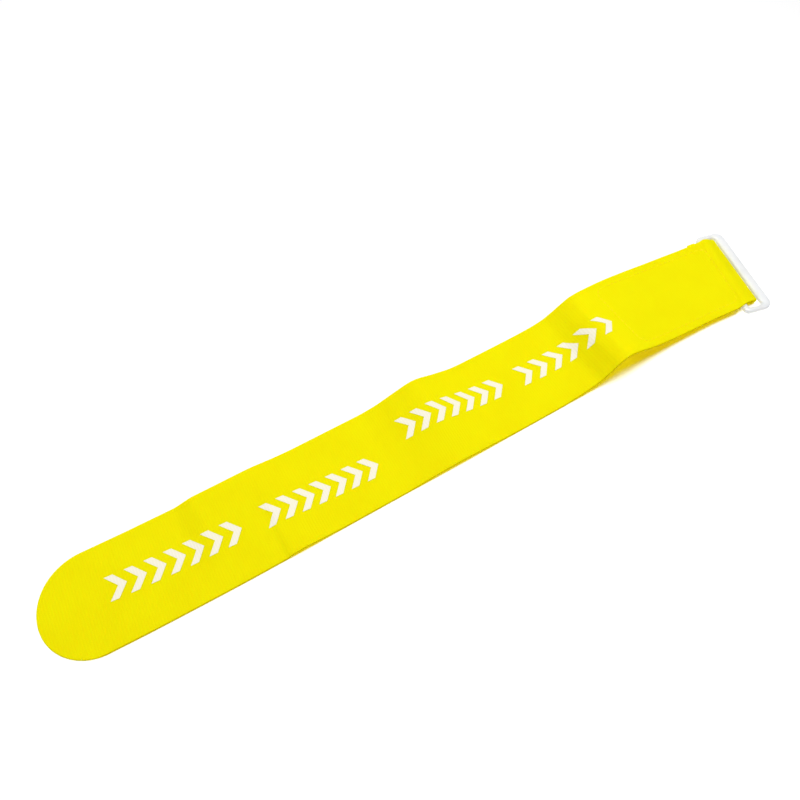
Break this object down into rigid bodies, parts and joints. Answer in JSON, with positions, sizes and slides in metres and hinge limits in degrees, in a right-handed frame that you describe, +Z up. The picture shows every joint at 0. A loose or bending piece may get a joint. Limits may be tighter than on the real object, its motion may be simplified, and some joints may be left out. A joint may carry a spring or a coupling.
{
  "type": "elastic team armband",
  "caption": "Flat elastic strap with a rounded tip, its other end folded and sewn round a rectangular plastic ring, with a stiff closure patch sewn underneath beside the ring.",
  "frame": {"origin": "middle of the armband's footprint, on the surface it lies on", "axes": "+X along the strap from the rounded tip to the ring, +Y across the strap, +Z up from the surface"},
  "size_m": [0.4224, 0.06, 0.0184],
  "materials": {
    "strap": "matt ribbed elastic webbing",
    "hook_patch": "matt hook tape",
    "ring": "smooth white moulded plastic"
  },
  "bodies": {
    "band": {"strap": "strap", "hook_patch": "hook_patch"},
    "ring": {"ring": "ring"}
  },
  "joints": [
    {"name": "ring_swing", "type": "hinge", "parent": "band", "child": "ring", "pos_m": [0.19021, 0.00136, 0.0031], "axis": [-0.2334, -0.9724, 0], "range_deg": [-122, 90]}
  ]
}
